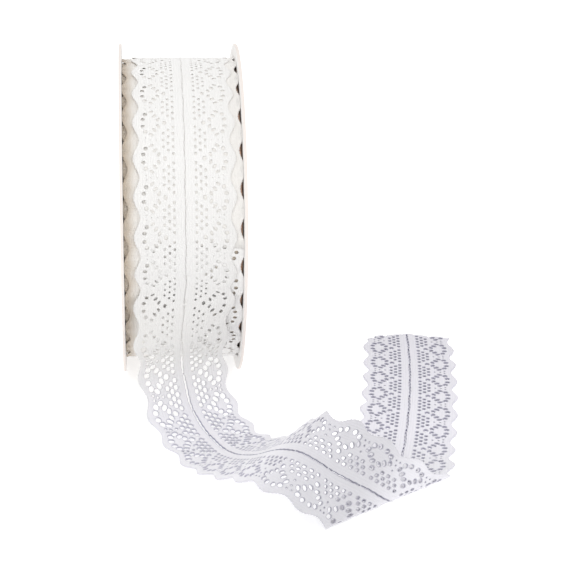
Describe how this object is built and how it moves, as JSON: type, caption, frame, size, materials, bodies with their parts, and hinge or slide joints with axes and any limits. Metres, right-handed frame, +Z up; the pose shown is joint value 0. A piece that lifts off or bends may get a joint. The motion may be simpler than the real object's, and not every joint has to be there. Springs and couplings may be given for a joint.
{
  "type": "spool of lace trim",
  "caption": "Spool of scalloped eyelet lace trim wound between card discs, its loose end hanging, twisting and folded back on the table.",
  "frame": {"origin": "middle of the bounding box's footprint, on the table the spool stands on", "axes": "+Z up; the discs' axis is parallel to X; the loose end leaves the roll at the front, towards -Y, and swings to the right, towards +X"},
  "size_m": [0.1276, 0.1952, 0.1197],
  "materials": {
    "card": "matt off-white card",
    "wound_lace": "soft matt knitted lace, ivory white",
    "loose_lace": "soft matt knitted lace, cool white"
  },
  "bodies": {
    "root": {"flange_left": "card", "flange_right": "card", "roll": "wound_lace", "loose_end": "loose_lace"}
  },
  "joints": []
}
